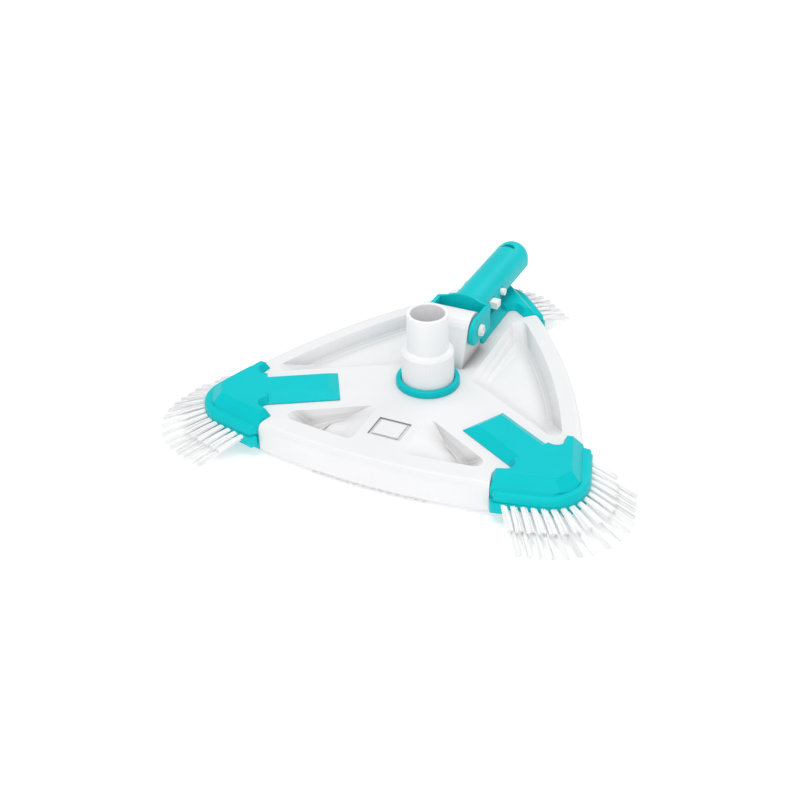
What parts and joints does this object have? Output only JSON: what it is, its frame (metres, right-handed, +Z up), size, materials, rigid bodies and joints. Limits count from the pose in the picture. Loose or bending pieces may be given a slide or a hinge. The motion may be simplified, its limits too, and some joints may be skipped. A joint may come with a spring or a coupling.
{
  "type": "manual pool vacuum head",
  "caption": "Triangular weighted pool vacuum head with side brushes at its corners, a swivelling hose spigot and a folding pole handle with a spring clip.",
  "frame": {"origin": "centre of the bounding box at the level of the bristle tips, where the head stands", "axes": "+Z up along the hose spigot, +Y towards the rear corner and the folded handle, +X towards the right corner"},
  "size_m": [0.3804, 0.3488, 0.0899],
  "materials": {
    "white_plastic": "satin white moulding",
    "teal_plastic": "satin teal moulding",
    "white_nylon": "matt white nylon",
    "bristle": "white nylon bristle",
    "rubber": "black rubber",
    "ballast": "cast and coated",
    "steel": "bright stainless"
  },
  "bodies": {
    "head": {"body_shell": "white_plastic", "suction_duct": "white_plastic", "base_plate": "white_plastic", "badge_plate": "white_plastic", "left_corner_cover": "teal_plastic", "left_side_brush": "bristle", "left_weight": "ballast", "right_corner_cover": "teal_plastic", "right_side_brush": "bristle", "right_weight": "ballast", "rear_corner_cover": "teal_plastic", "rear_side_brush": "bristle", "rear_weight": "ballast", "front_base_brush": "bristle", "left_base_brush": "bristle", "right_base_brush": "bristle", "spigot_ring": "teal_plastic", "shell_screw_left_inner": "steel", "shell_screw_left_outer": "steel", "shell_screw_right_inner": "steel", "shell_screw_right_outer": "steel", "shell_screw_rear_inner": "steel", "shell_screw_rear_outer": "steel", "cover_screw_left_a": "steel", "cover_screw_left_b": "steel", "cover_screw_right_a": "steel", "cover_screw_right_b": "steel", "cover_screw_rear_a": "steel", "cover_screw_rear_b": "steel"},
    "spigot": {"hose_spigot": "white_plastic", "spigot_o_ring": "rubber", "spigot_retainer": "white_nylon"},
    "handle": {"pole_handle": "teal_plastic", "pivot_bolt": "white_nylon", "pivot_nut": "white_nylon", "clip_bend": "white_nylon"},
    "clip_left": {"clip_leg_left": "white_nylon"},
    "clip_right": {"clip_leg_right": "white_nylon"}
  },
  "joints": [
    {"name": "handle_tilt", "type": "hinge", "parent": "head", "child": "handle", "pos_m": [0, 0.01421, 0.0525], "axis": [1, 0, 0], "range_deg": [0, 110]},
    {"name": "hose_swivel", "type": "hinge", "parent": "head", "child": "spigot", "pos_m": [0, -0.03579, 0.05], "axis": [0, 0, 1], "continuous": true},
    {"name": "clip_left_press", "type": "hinge", "parent": "handle", "child": "clip_left", "pos_m": [-0.0093, 0.11217, 0.04994], "axis": [0, 0.0262, 0.9997], "range_deg": [0, 6], "stiffness_Nm_per_rad": 5},
    {"name": "clip_right_press", "type": "hinge", "parent": "handle", "child": "clip_right", "pos_m": [0.0093, 0.11217, 0.04994], "axis": [0, -0.0262, -0.9997], "range_deg": [0, 6], "stiffness_Nm_per_rad": 5}
  ]
}
